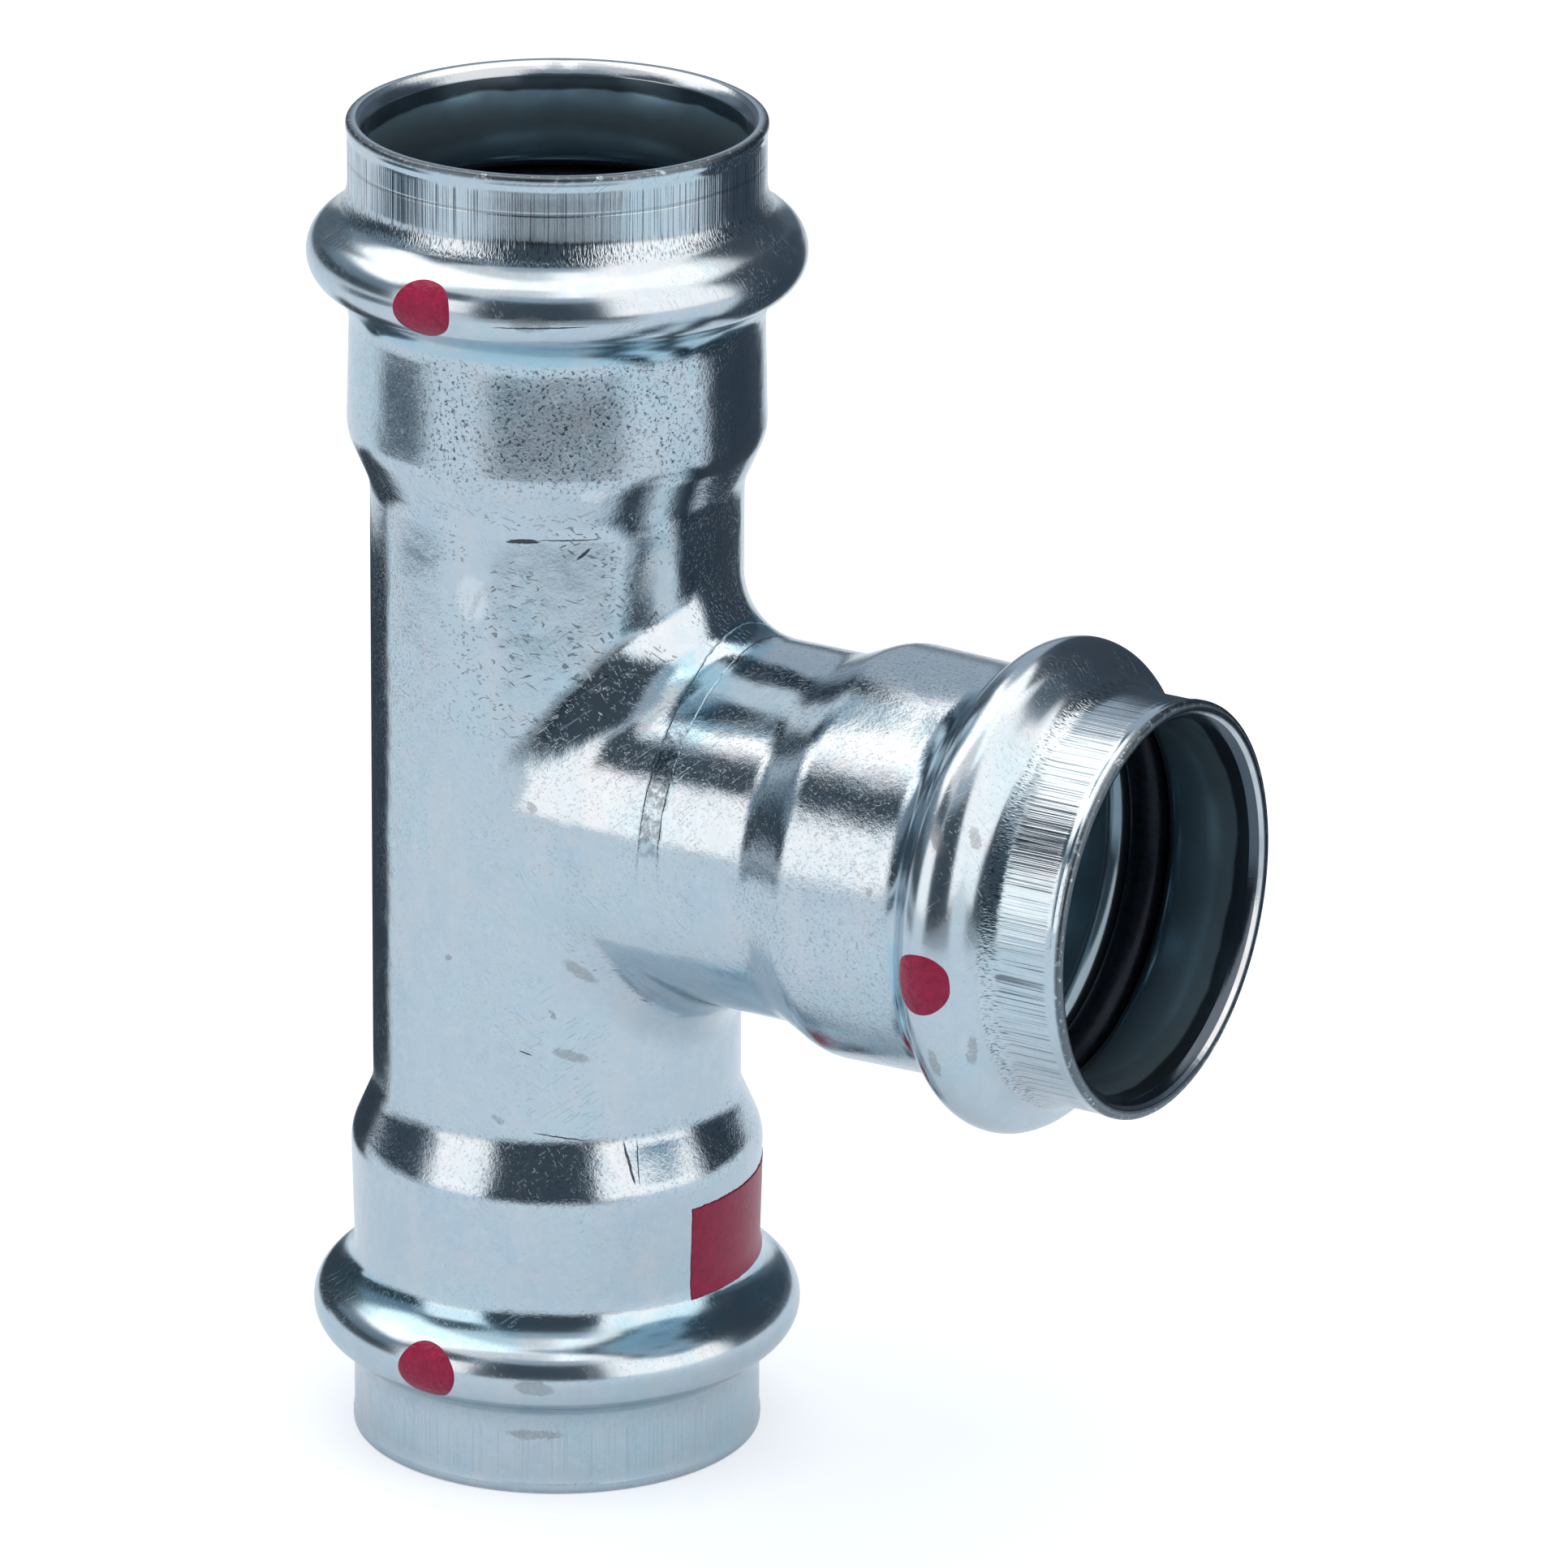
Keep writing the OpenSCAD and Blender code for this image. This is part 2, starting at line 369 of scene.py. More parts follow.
def tee_shell():
    """The formed tube: three sleeves joined along the seams where run and branch meet."""
    points, faces, depth, inside, branch, lower = [], [], [], [], [], []
    start = 0
    for kind in ("upper", "lower", "branch"):
        grid, from_mouth, within = sleeve(kind)
        rows, cols = grid.shape[:2]
        faces.append(quads(rows, cols, start, flipped=kind != "upper"))
        points.append(grid.reshape(-1, 3))
        depth.append(from_mouth.ravel())
        inside.append(within.ravel())
        branch.append(np.full(rows * cols, float(kind == "branch")))
        lower.append(np.full(rows * cols, float(kind == "lower")))
        start += rows * cols
    attributes = [
        ("depth", np.concatenate(depth)),
        ("inside", np.concatenate(inside)),
        ("branch", np.concatenate(branch)),
        ("lower", np.concatenate(lower)),
    ]
    points, faces, attributes = joined(np.concatenate(points), np.concatenate(faces), attributes)
    return make_piece("tee_shell", points, faces, attributes)


def seal_ring(name, kind):
    """A round-section ring: a circle of the section's radius carried round the socket's axis, with a
    low moulding flash on its inner side."""
    turn = np.linspace(0, 2 * math.pi, ring_steps, endpoint=False)
    section = np.linspace(0, 2 * math.pi, section_steps, endpoint=False)[:, None]
    radius = seal_section / 2 + flash_height * np.exp(-((section - math.pi) / flash_width) ** 2)
    outline = np.concatenate([seal_centre + radius * np.cos(section),
                              bead_pos + radius * np.sin(section)], axis=1)
    points = end_skin(outline, turn, kind)[0]
    faces = quads(section_steps, ring_steps, 0, flipped=kind == "upper", wrap_rows=True)
    return make_piece(name, points.reshape(-1, 3), faces)


def bead_surface(along, lift):
    """Radius r and distance d from the mouth of the points of a bead at arc length along from its
    crest line, lifted by lift. The crest is an arc of radius crest_round turned about the axis."""
    centre = crest_r - crest_round
    lean = along / crest_round
    r = centre + (crest_round + lift) * np.cos(lean)
    d = bead_pos + (crest_round + lift) * np.sin(lean)
    return r, d


def paint_dot(name, kind, middle, seed):
    """A dab of paint on a bead: a polar grid whose rim wavers, laid on the crest. Its thickness is
    full at the middle, falls as 1 - s^6 to the rim, and carries a few soft lumps."""
    rng = np.random.default_rng(seed)
    spokes, rings = 96, 16
    turn = np.linspace(0, 2 * math.pi, spokes, endpoint=False)[None, :]
    share = np.linspace(0, 1, rings + 1)[1:, None]
    waver = sum(rng.normal(0, dot_waver / k) * np.cos(k * turn + rng.uniform(0, phase_range))
                for k in range(2, 9))
    radius = dot_radius * (1 + waver)
    lumps = 0
    for _ in range(dot_lumps):
        slope_x, slope_y = rng.normal(0, lump_spread), rng.normal(0, lump_spread)
        wave = slope_x * share * np.cos(turn) * lump_waves + slope_y * share * np.sin(turn) * lump_waves
        lumps = lumps + lump_size * np.cos(wave + rng.uniform(0, phase_range))
    lift = paint_low + paint_height * (1 - share ** 6) * (dab_level + lumps)
    across, along = share * radius * np.cos(turn), share * radius * np.sin(turn)
    layers = []
    for height in (lift, np.full_like(lift, paint_low / 2)):
        r, d = bead_surface(along, height)
        layers.append(place_on_end(r, d, middle + across / crest_r, kind).reshape(-1, 3))
        r, d = bead_surface(np.zeros(1), height[:1, :1].ravel())
        layers.append(place_on_end(r, d, np.array([middle]), kind))
    top, top_pole, bottom, bottom_pole = layers
    points = np.concatenate([top, top_pole, bottom, bottom_pole])
    count = rings * spokes
    following = (np.arange(spokes) + 1) % spokes
    spoke = np.arange(spokes)
    top_rim = (rings - 1) * spokes
    below = count + 1
    low_rim = below + top_rim
    upper_cap = np.stack([np.full(spokes, count), spoke, following], axis=1)
    lower_cap = np.stack([np.full(spokes, below + count), below + following, below + spoke], axis=1)
    side = np.stack([top_rim + spoke, low_rim + spoke, low_rim + following, top_rim + following], axis=1)
    triangles = np.concatenate([upper_cap, lower_cap])
    top_faces = quads(rings, spokes, 0, flipped=False)
    bottom_faces = quads(rings, spokes, below, flipped=True)
    faces = [*triangles.tolist(), *top_faces.tolist(), *bottom_faces.tolist(), *side.tolist()]
    return make_piece(name, points, faces, [("dabbed", np.ones(len(points)))], outward=True)


def printed_block(name):
    """The printed block: a thin sheet on the lower socket, from angle to angle and depth to depth,
    whose edges waver by a few hundredths of a millimetre. Its radius is that of the steel's outline
    at the same depth, plus the paint's height."""
    rng = np.random.default_rng(block_seed)
    cols, rows = 220, 40
    across = np.linspace(0, 1, cols)[None, :]
    down = np.linspace(0, 1, rows)[:, None]
    rough = rng.normal(0, block_waver, (4, cols))  # two rows are used, all four are drawn
    start, end = (math.radians(a) for a in (block_start, block_start + block_arc))
    bends = rng.normal(0, block_side_waver, block_side_bends)
    side_waver = np.interp(down, np.linspace(0, 1, block_side_bends), bends)
    around = start + (end - start) * across + side_waver * (1 - across) / socket_r
    low = block_pos + rough[0] * near_edge_share
    high = block_pos + block_height + rough[1]
    d = low * (1 - down) + high * down
    outline = outer_outline()
    steel = np.interp(d, outline[:, 1], outline[:, 0])
    top = place_on_end(steel + paint_low + paint_height * block_paint_share, d, around, "lower")
    bottom = place_on_end(steel + paint_low / 2, d, around, "lower")
    points = np.concatenate([top.reshape(-1, 3), bottom.reshape(-1, 3)])
    count = rows * cols
    grid = np.arange(count).reshape(rows, cols)
    cells = np.stack([grid[:-1, :-1], grid[:-1, 1:], grid[1:, 1:], grid[1:, :-1]], axis=-1)
    cells = cells.reshape(-1, 4)
    edge = np.concatenate([grid[0, :-1], grid[:-1, -1], grid[-1, :0:-1], grid[:0:-1, 0]])
    after = np.roll(edge, -1)
    rim = np.stack([after, edge, edge + count, after + count], axis=1)
    faces = np.concatenate([cells, cells[:, ::-1] + count, rim])
    return make_piece(name, points, faces, outward=True)


class Finish:
    """A material whose patterns are made of nodes, on coordinates in millimetres."""

    def __init__(self, name):
        self.material = bpy.data.materials.new(name)
        self.material.use_nodes = True
        tree = self.material.node_tree
        self.nodes, self.links = tree.nodes, tree.links
        self.shader = self.nodes["Principled BSDF"]
        self.place = self.scaled(self.node("ShaderNodeTexCoord", socket="Object"), (1 / MM,) * 3)

    def feed(self, socket, value):
        """Links an output to a socket, or sets the socket's own value."""
        if isinstance(value, bpy.types.NodeSocket):
            self.links.new(value, socket)
        elif socket.type == "RGBA" and len(value) == 3:
            socket.default_value = (*value, 1)
        else:
            socket.default_value = value

    def node(self, kind, *inputs, socket=None, **settings):
        """Adds a node, gives it its settings and inputs in order, and returns one output."""
        made = self.nodes.new(kind)
        for key, value in settings.items():
            setattr(made, key, value)
        for slot, value in zip([s for s in made.inputs if s.enabled], inputs):
            self.feed(slot, value)
        return made.outputs[socket] if socket else next(s for s in made.outputs if s.enabled)

    def math(self, operation, *values):
        return self.node("ShaderNodeMath", *values, operation=operation)

    def times(self, first, *others):
        for other in others:
            first = self.math("MULTIPLY", first, other)
        return first

    def sum(self, first, *others):
        for other in others:
            first = self.math("ADD", first, other)
        return first

    def most(self, first, *others):
        for other in others:
            first = self.math("MAXIMUM", first, other)
        return first

    def flipped(self, value):
        """1 less the value."""
        return self.math("SUBTRACT", 1.0, value)

    def azimuth(self, x, y):
        """Degrees from -Y towards +X."""
        return self.times(self.math("ARCTAN2", x, self.times(y, -1.0)), 180 / math.pi)

    def vector(self, operation, *values, socket=None):
        return self.node("ShaderNodeVectorMath", *values, operation=operation, socket=socket)

    def scaled(self, vector, factors):
        return self.vector("MULTIPLY", vector, factors)

    def turned(self, vector, angles, factors):
        """The coordinates in a frame that is turned by angles in degrees, and then scaled."""
        turn = tuple(math.radians(a) for a in angles)
        spun = self.node("ShaderNodeVectorRotate", vector, (0, 0, 0), turn, rotation_type="EULER_XYZ",
                         invert=True)
        return self.scaled(spun, factors)

    def noise(self, vector, size, detail=2.0, roughness=0.5):
        """Smooth noise from 0 to 1 whose lumps are about size millimetres across."""
        made = self.nodes.new("ShaderNodeTexNoise")
        for label, value in (("Vector", vector), ("Scale", 1 / size), ("Detail", detail),
                             ("Roughness", roughness)):
            self.feed(made.inputs[label], value)
        return made.outputs["Fac"]

    def rise(self, value, low, high):
        """0 below low and 1 above high, with a smooth step between. If high < low, it falls."""
        made = self.nodes.new("ShaderNodeMapRange")
        made.interpolation_type = "SMOOTHSTEP"
        self.feed(made.inputs["Value"], value)
        ends = (low, high, 0, 1) if low < high else (high, low, 1, 0)
        for label, number in zip(("From Min", "From Max", "To Min", "To Max"), ends):
            made.inputs[label].default_value = number
        return made.outputs["Result"]

    def band(self, value, low, high, soft):
        """1 between low and high, falling to 0 over soft on both sides."""
        return self.times(self.rise(value, low - soft, low), self.rise(value, high + soft, high))

    def blend(self, share, first, second):
        """Two colours mixed by share."""
        made = self.nodes.new("ShaderNodeMix")
        made.data_type = "RGBA"
        for slot, value in zip([s for s in made.inputs if s.enabled], (share, first, second)):
            self.feed(slot, value)
        return next(s for s in made.outputs if s.enabled)

    def ramp(self, value, *stops):
        """A run of colours at places from 0 to 1."""
        made = self.nodes.new("ShaderNodeValToRGB")
        self.feed(made.inputs["Fac"], value)
        elements = made.color_ramp.elements
        while len(elements) < len(stops):
            elements.new(0.5)
        for element, (place, colour) in zip(elements, stops):
            element.position = place
            element.color = (*colour, 1)
        return made.outputs["Color"]

    def attribute(self, label):
        return self.node("ShaderNodeAttribute", attribute_name=label, socket="Fac")

    def bump(self, height, depth, normal=None):
        """A bump whose height runs from 0 to 1 over depth millimetres."""
        made = self.nodes.new("ShaderNodeBump")
        made.inputs["Distance"].default_value = depth * MM
        self.feed(made.inputs["Height"], height)
        if normal is not None:
            self.feed(made.inputs["Normal"], normal)
        return made.outputs["Normal"]

    def mark(self, place, centre, along, half_length, half_width):
        """A ragged oblong spot on the tee about centre, half_length long to each side in direction
        along and half_width wide."""
        along = Vector(along).normalized()
        cx, cy, cz = centre
        out = Vector((0, cy, cz - branch_height)) if cx > branch_start else Vector((cx, cy, 0))
        side = out.cross(along).normalized()
        turn = Matrix((along, side, along.cross(side))).transposed().to_euler()
        spot = self.node("ShaderNodeMapping", place, centre, turn, (half_length, half_width, mark_reach),
                         vector_type="TEXTURE")
        return self.rise(self.vector("LENGTH", spot, socket="Value"), *mark_edge)

    def marks(self, rows, ragged):
        """All marks of a list, with edges that wander by about ragged millimetres."""
        wobble = self.node("ShaderNodeTexNoise", self.place, 1.8, 4.0, 0.65, socket="Color")
        wobble = self.vector("SUBTRACT", wobble, (0.5,) * 3)
        place = self.vector("MULTIPLY_ADD", wobble, (ragged,) * 3, self.place)
        return self.most(*[self.mark(place, *row) for row in rows])


def zinc_plating():
    """Bright zinc on steel: pale, slightly blue and cloudy, grainy on the sockets and the branch,
    with dark dots there that are partly painted dark reflection, brushed along the guides, with a
    burred dark edge at each mouth, a painted glint along each cut face and the branch's cut face
    painted dark as a reflection, blue-green inside with painted shade at the seal's groove and a
    painted dark reflection just inside each mouth, and the marks of handling: short nicks on the
    upper run, scuffs, scratches and a slit."""
    f = Finish("zinc plating")
    depth, inside, branch, lower = (f.attribute(a) for a in ("depth", "inside", "branch", "lower"))
    outside = f.flipped(inside)
    upper = f.flipped(f.most(branch, lower))
    x, z = (f.node("ShaderNodeSeparateXYZ", f.place, socket=s) for s in "XZ")

    bead = f.times(f.band(depth, *bead_zone, 0.5), outside)
    socket = f.times(f.band(depth, *socket_zone, 1.2), outside)
    guide = f.times(f.band(depth, *guide_zone, 0.4), outside, f.flipped(f.times(lower, 0.85)))
    guide_line = f.times(f.band(depth, *line_zone, 0.12), outside, upper)
    edge = f.times(f.rise(depth, 0.55, 0.25), outside, f.flipped(f.times(lower, 0.8)))
    face = f.times(f.rise(depth, 1.05, 0.8), inside)
    near_mouth = f.rise(depth, 15, 13.5)
    front = f.rise(f.vector("DOT_PRODUCT", f.place, front_way, socket="Value"), 9.5, 13.5)

    # Cloudy colour, with dark dots, pinkish blotches and a blue-green tarnish beside the beads. The dots
    # are grain all over, and painted dark reflection where they crowd: on the front of the upper socket,
    # on the branch's socket and on the lower taper
    cloud = f.noise(f.place, 9, 3, 0.6)
    mottle = f.noise(f.place, 0.9, 4, 0.65)
    colour = f.ramp(cloud, (0.3, steel_blue), (0.5, zinc), (0.72, zinc_cyan))
    colour = f.blend(f.times(f.rise(mottle, 0.52, 0.34), 0.5), colour, pale_blue)
    speck = f.noise(f.place, 0.28, 3, 0.75)
    # Painted dark reflection: shares of the dots on the upper socket's front, the lower taper and the
    # branch's socket
    upper_painted_reflection = f.times(upper, f.rise(depth, 26, 22.5), f.sum(0.16, f.times(front, 0.84)))
    lower_painted_reflection = f.times(lower, f.rise(depth, 22.5, 24.5), 0.3)
    painted_reflection_dots = f.times(socket, f.sum(f.times(branch, 0.3), upper_painted_reflection, lower_painted_reflection))
    grain_and_painted_reflection_dots = f.times(f.rise(speck, 0.53, 0.64), outside, f.sum(0.05, painted_reflection_dots))
    colour = f.blend(grain_and_painted_reflection_dots, colour, dark_steel)
    smear = f.noise(f.scaled(f.place, (1, 1, 0.25)), 3.5, 3, 0.6)
    colour = f.blend(f.times(f.rise(smear, 0.5, 0.68), 0.45), colour, milky_zinc)
    blotch = f.times(f.rise(f.noise(f.place, 3.2, 3, 0.6), 0.6, 0.72), 0.5)
    colour = f.blend(blotch, colour, pink_zinc)
    tarnish = f.times(f.band(depth, *tarnish_zone, 0.7), outside, f.rise(cloud, 0.38, 0.52))
    colour = f.blend(f.times(tarnish, 0.7), colour, tarnish_cyan)

    # Brushed streaks along the guides
    run_streak = f.noise(f.scaled(f.place, (7, 7, 0.08)), 1, 1, 0.6)
    branch_streak = f.noise(f.scaled(f.place, (0.08, 7, 7)), 1, 1, 0.6)
    streak = f.node("ShaderNodeMix", branch, run_streak, branch_streak, data_type="FLOAT")
    colour = f.blend(f.times(f.rise(streak, 0.52, 0.70), guide, 0.75), colour, dark_steel)
    colour = f.blend(f.times(f.rise(streak, 0.46, 0.34), guide, 0.3), colour, bright_zinc)
    colour = f.blend(f.times(guide_line, 0.25), colour, dark_steel)

    # Short nicks, crowded on the upper run, and hairline scratches
    nicks = []
    for lean in (12, -26, 40):
        lines = f.noise(f.turned(f.place, (0, lean, 31), (0.9, 5.0, 5.0)), 1, 0, 0.5)
        nicks.append(f.rise(lines, 0.735, 0.77))
    hairs = [f.rise(f.noise(f.turned(f.place, (0, lean, 31), (0.14, 7, 7)), 1, 0, 0.5), 0.72, 0.76)
             for lean in (63, -35)]
    hairs = f.times(f.most(*hairs), outside, f.flipped(guide), f.rise(cloud, 0.42, 0.58))
    colour = f.blend(f.times(hairs, 0.35), colour, milky_zinc)
    where = f.times(f.rise(f.noise(f.place, 3.5, 2), 0.4, 0.52), outside, f.flipped(near_mouth))
    on_run = f.times(upper, f.band(depth, *nick_zone, 3), f.sum(0.25, f.times(front, 0.6)))
    crowd = f.sum(0.07, on_run, f.times(branch, 0.1))
    nicks = f.times(f.most(*nicks), where, crowd)
    scars, scuffs, bright = f.marks(dark_marks, 0.2), f.marks(grey_marks, 0.7), f.marks(pale_marks, 0.9)
    scuffs = f.times(scuffs, f.rise(speck, 0.85, 0.45))
    colour = f.blend(f.times(nicks, 0.7), colour, dark_steel)
    colour = f.blend(f.times(scuffs, 0.55), colour, scuff_grey)
    colour = f.blend(f.times(bright, 0.6), colour, bright_zinc)
    colour = f.blend(f.times(scars, 0.9), colour, scar_black)

    # The die's ring round the root of the branch
    x = f.sum(x, f.times(f.math("SUBTRACT", mottle, 0.5), 0.35))
    on_top = f.times(branch, outside, f.rise(z, branch_height - 3, branch_height + 5))
    ring = f.times(f.band(x, *die_ring, 0.12), on_top)
    ring_lines = f.times(f.most(f.band(x, 15.75, 15.85, 0.1), f.band(x, 17.6, 17.7, 0.1)), on_top)
    worn = f.times(ring, f.band(z, branch_height + 1.6, branch_height + 10, 0.5),
                   f.rise(mottle, 0.62, 0.44))
    blue = f.times(on_top, f.band(x, 14.2, 18.5, 1.2), f.rise(z, branch_height + 7, branch_height + 11))
    colour = f.blend(f.times(ring_lines, f.rise(mottle, 0.58, 0.46), 0.45), colour, dark_steel)
    colour = f.blend(f.times(blue, f.rise(smear, 0.4, 0.55), 0.75), colour, tarnish_cyan)
    colour = f.blend(f.times(worn, 0.7), colour, cut_steel_and_painted_reflection)

    # Burred edge, cut face and bevel of each mouth, and the inside, with painted light: a painted glint
    # along each cut face, the branch's cut face painted dark as a reflection, painted shade at the
    # seal's groove and a painted dark reflection just inside each mouth
    burr = f.noise(f.place, 0.55, 4, 0.7)
    colour = f.blend(f.times(edge, f.rise(burr, 0.68, 0.54), 0.85), colour, dark_steel)
    # Painted highlight: a bright line along the inner part of each cut face; the branch's cut face is
    # painted dark as a reflection
    painted_glint = f.times(f.band(depth, 0.08, 0.3, 0.06), f.sum(0.4, f.times(f.noise(f.place, 3, 2), 0.6)))
    cut = f.blend(painted_glint, f.blend(branch, cut_zinc, cut_steel_and_painted_reflection), bright_zinc)
    # Painted shade: the inside darkens in a band at the seal's groove
    teal_with_painted_shade = f.ramp(f.math("DIVIDE", depth, 30), (0.1, inner_teal), (0.3, painted_groove_shade), (0.55, inner_teal))
    # Painted reflection: a dark band just inside each mouth
    lip = f.rise(f.sum(depth, f.times(cloud, 1.6)), 3.1, 2.8)
    colour = f.blend(inside, colour, f.blend(face, f.blend(f.times(lip, 0.9), teal_with_painted_shade, painted_mouth_reflection), cut))
    f.feed(f.shader.inputs["Base Color"], colour)

    f.feed(f.shader.inputs["Metallic"], f.flipped(f.times(inside, f.flipped(face), 0.17)))
    rough = f.sum(0.1, f.times(edge, 0.2), f.times(inside, 0.06), f.times(guide, 0.04),
                  f.times(bead, 0.08), f.times(scuffs, 0.12),
                  f.times(f.math("SUBTRACT", mottle, 0.4), 0.12))
    f.feed(f.shader.inputs["Roughness"], rough)

    # Relief: waves, grain, streaks, nicks and the ring
    smooth = f.flipped(f.times(near_mouth, 0.75))
    normal = f.bump(f.times(f.noise(f.place, 5, 2), smooth), 0.1)
    normal = f.bump(f.times(f.noise(f.place, 1.3, 2), smooth), 0.012, normal)
    grain = f.times(speck, f.sum(0.25, f.times(socket, 0.22)), smooth, outside)
    normal = f.bump(grain, 0.035, normal)
    normal = f.bump(f.times(streak, guide), 0.035, normal)
    dents = f.sum(f.times(nicks, -0.8), f.times(scars, -1.0), f.times(ring, 1.2),
                  f.times(guide_line, -0.4), f.times(hairs, -0.15))
    normal = f.bump(dents, 0.05, normal)
    normal = f.bump(f.times(burr, f.most(edge, f.times(face, 0.25))), 0.06, normal)
    f.feed(f.shader.inputs["Normal"], normal)
    return f.material


def seal_rubber():
    """Black oiled rubber, with a faint bloom."""
    f = Finish("seal rubber")
    colour = f.ramp(f.noise(f.place, 0.6, 3, 0.6), (0.35, rubber_black), (0.75, rubber_grey))
    f.feed(f.shader.inputs["Base Color"], colour)
    rough = f.sum(0.22, f.times(f.noise(f.place, 0.8, 3), 0.2))
    f.feed(f.shader.inputs["Roughness"], rough)
    f.shader.inputs["Specular IOR Level"].default_value = 0.22
    f.shader.inputs["Specular Tint"].default_value = (0.6, 0.75, 1.0, 1)
    f.feed(f.shader.inputs["Normal"], f.bump(f.noise(f.place, 0.3, 3), 0.01))
    return f.material


def crimson_paint():
    """Crimson paint, semi-gloss, with tiny pale pits, and with lumps where it is dabbed on."""
    f = Finish("crimson paint")
    dabbed = f.attribute("dabbed")
    shade = f.noise(f.place, 0.7, 3, 0.6)
    colour = f.ramp(shade, (0.3, crimson_dark), (0.7, crimson))
    pits = f.rise(f.noise(f.place, 0.11, 2), 0.74, 0.79)
    colour = f.blend(f.times(pits, 0.6), colour, pit_pink)
    f.feed(f.shader.inputs["Base Color"], colour)
    f.shader.inputs["Roughness"].default_value = 0.33
    f.shader.inputs["Specular IOR Level"].default_value = 0.3
    lumps = f.times(f.noise(f.place, 0.6, 3), f.sum(0.08, dabbed))
    f.feed(f.shader.inputs["Normal"], f.bump(lumps, 0.18))
    return f.material


# Zones of the zinc along one end, as distances from the mouth in millimetres
guide_zone = (1.5, 6.4)
line_zone = (2.8, 2.95)
bead_zone = (6.6, 13.6)
tarnish_zone = (12.6, 14.0)
socket_zone = (15.2, 28.0)
nick_zone = (28, 42)

# The die's ring, as distances from the run's axis, and the side of the tee that was handled most,
# where the dots of painted dark reflection on the upper socket also crowd
die_ring = (15.95, 17.5)
front_way = (0.57, -0.82, 0)

# Colours, as linear light
zinc = (0.53, 0.62, 0.68)
steel_blue = (0.465, 0.585, 0.665)
zinc_cyan = (0.475, 0.63, 0.705)
pale_blue = (0.57, 0.66, 0.73)
pink_zinc = (0.60, 0.62, 0.66)
milky_zinc = (0.61, 0.65, 0.69)
tarnish_cyan = (0.34, 0.58, 0.70)
# Bright zinc, also used for the painted glint along each cut face
bright_zinc = (0.74, 0.80, 0.84)
# Dark steel, also used for the dots of painted dark reflection
dark_steel = (0.07, 0.09, 0.11)
scuff_grey = (0.26, 0.28, 0.29)
scar_black = (0.012, 0.014, 0.018)
# Cut steel, also the branch's cut face painted dark as a reflection
cut_steel_and_painted_reflection = (0.08, 0.105, 0.13)
cut_zinc = (0.46, 0.52, 0.57)
inner_teal = (0.38, 0.53, 0.61)
# Painted shade at the seal's groove, then a painted dark reflection just inside each mouth
painted_groove_shade = (0.06, 0.09, 0.12)
painted_mouth_reflection = (0.03, 0.045, 0.06)
rubber_black = (0.004, 0.005, 0.008)
rubber_grey = (0.012, 0.015, 0.022)
crimson = (0.44, 0.014, 0.078)
crimson_dark = (0.31, 0.01, 0.05)
pit_pink = (0.75, 0.35, 0.4)

# A mark whose centre is farther than branch_start from the run's axis is on the branch. Each
# reaches mark_reach into the steel and out of it, and fades over mark_edge, as shares of its size
branch_start = 16
mark_reach = 1.5
mark_edge = (1.15, 0.75)

# Marks of handling: centre, direction along it, half length and half width, in millimetres
dark_marks = [
    ((5.25, -12.93, 75.55), (0.92, 0.38, 0.06), 1.23, 0.17),
    ((8.12, -11.24, 75.69), (0.81, 0.59, 0.0), 2.13, 0.05),
    ((9.07, -10.64, 74.60), (0.59, 0.51, 0.63), 0.65, 0.11),
    ((11.85, -8.61, 26.31), (0.38, -0.11, -0.92), 1.60, 0.10),
    ((12.26, -8.01, 26.27), (0.24, -0.30, -0.92), 1.56, 0.05),
    ((5.38, -12.90, 35.18), (0.86, 0.38, -0.35), 0.47, 0.05),
    ((7.70, -11.54, 28.47), (0.83, 0.54, -0.16), 2.03, 0.05),
    ((8.69, -16.08, 93.48), (0.88, 0.47, 0.03), 3.27, 0.06),
]
grey_marks = [
    ((8.86, -10.74, 41.93), (0.65, 0.52, -0.56), 1.75, 0.6),
    ((8.30, -11.15, 35.05), (0.77, 0.58, -0.28), 1.5, 0.42),
    ((7.20, -11.98, 38.33), (0.30, 0.18, -0.83), 0.5, 0.16),
    ((3.35, -13.58, 29.61), (0.88, 0.21, -0.42), 0.5, 0.26),
    ((-0.75, -13.98, 41.9), (0.9, 0.0, 0.3), 0.38, 0.26),
    ((6.44, -13.61, 55.13), (1.0, 0.0, 0.0), 0.48, 0.38),
    ((42.80, -16.11, 60.73), (0.56, -0.36, -0.74), 1.7, 0.55),
    ((45.05, -14.80, 60.74), (0.28, -0.22, -0.94), 0.85, 0.3),
    ((45.27, -15.15, 44.43), (-0.14, 0.28, -0.95), 1.4, 0.28),
    ((42.91, -16.43, 43.46), (0.02, 0.46, -0.89), 1.5, 0.4),
    ((8.21, -16.61, 93.78), (0.90, 0.44, 0.03), 1.49, 0.7),
    ((8.38, -16.50, 9.95), (0.90, 0.44, -0.08), 1.56, 0.6),
    ((6.81, -13.87, 4.88), (0.90, 0.45, 0.0), 2.19, 0.42),
    ((36.42, -15.22, 54.96), (0.50, -0.12, -0.86), 0.39, 0.28),
    ((1.77, -13.86, 70.59), (0.36, 0.05, 0.93), 1.30, 0.25),
]
pale_marks = [
    ((1.36, -13.91, 70.63), (0.0, 0.0, 1.0), 1.9, 1.3),
    ((11.88, -8.59, 77.26), (-0.34, 0.15, -0.93), 1.57, 0.12),
    ((14.84, -4.74, 86.58), (0.27, 0.94, 0.21), 0.49, 0.09),
    ((10.45, -11.33, 79.49), (0.75, 0.66, 0.08), 1.11, 0.6),
]

zinc_material = zinc_plating()
rubber_material = seal_rubber()
paint_material = crimson_paint()


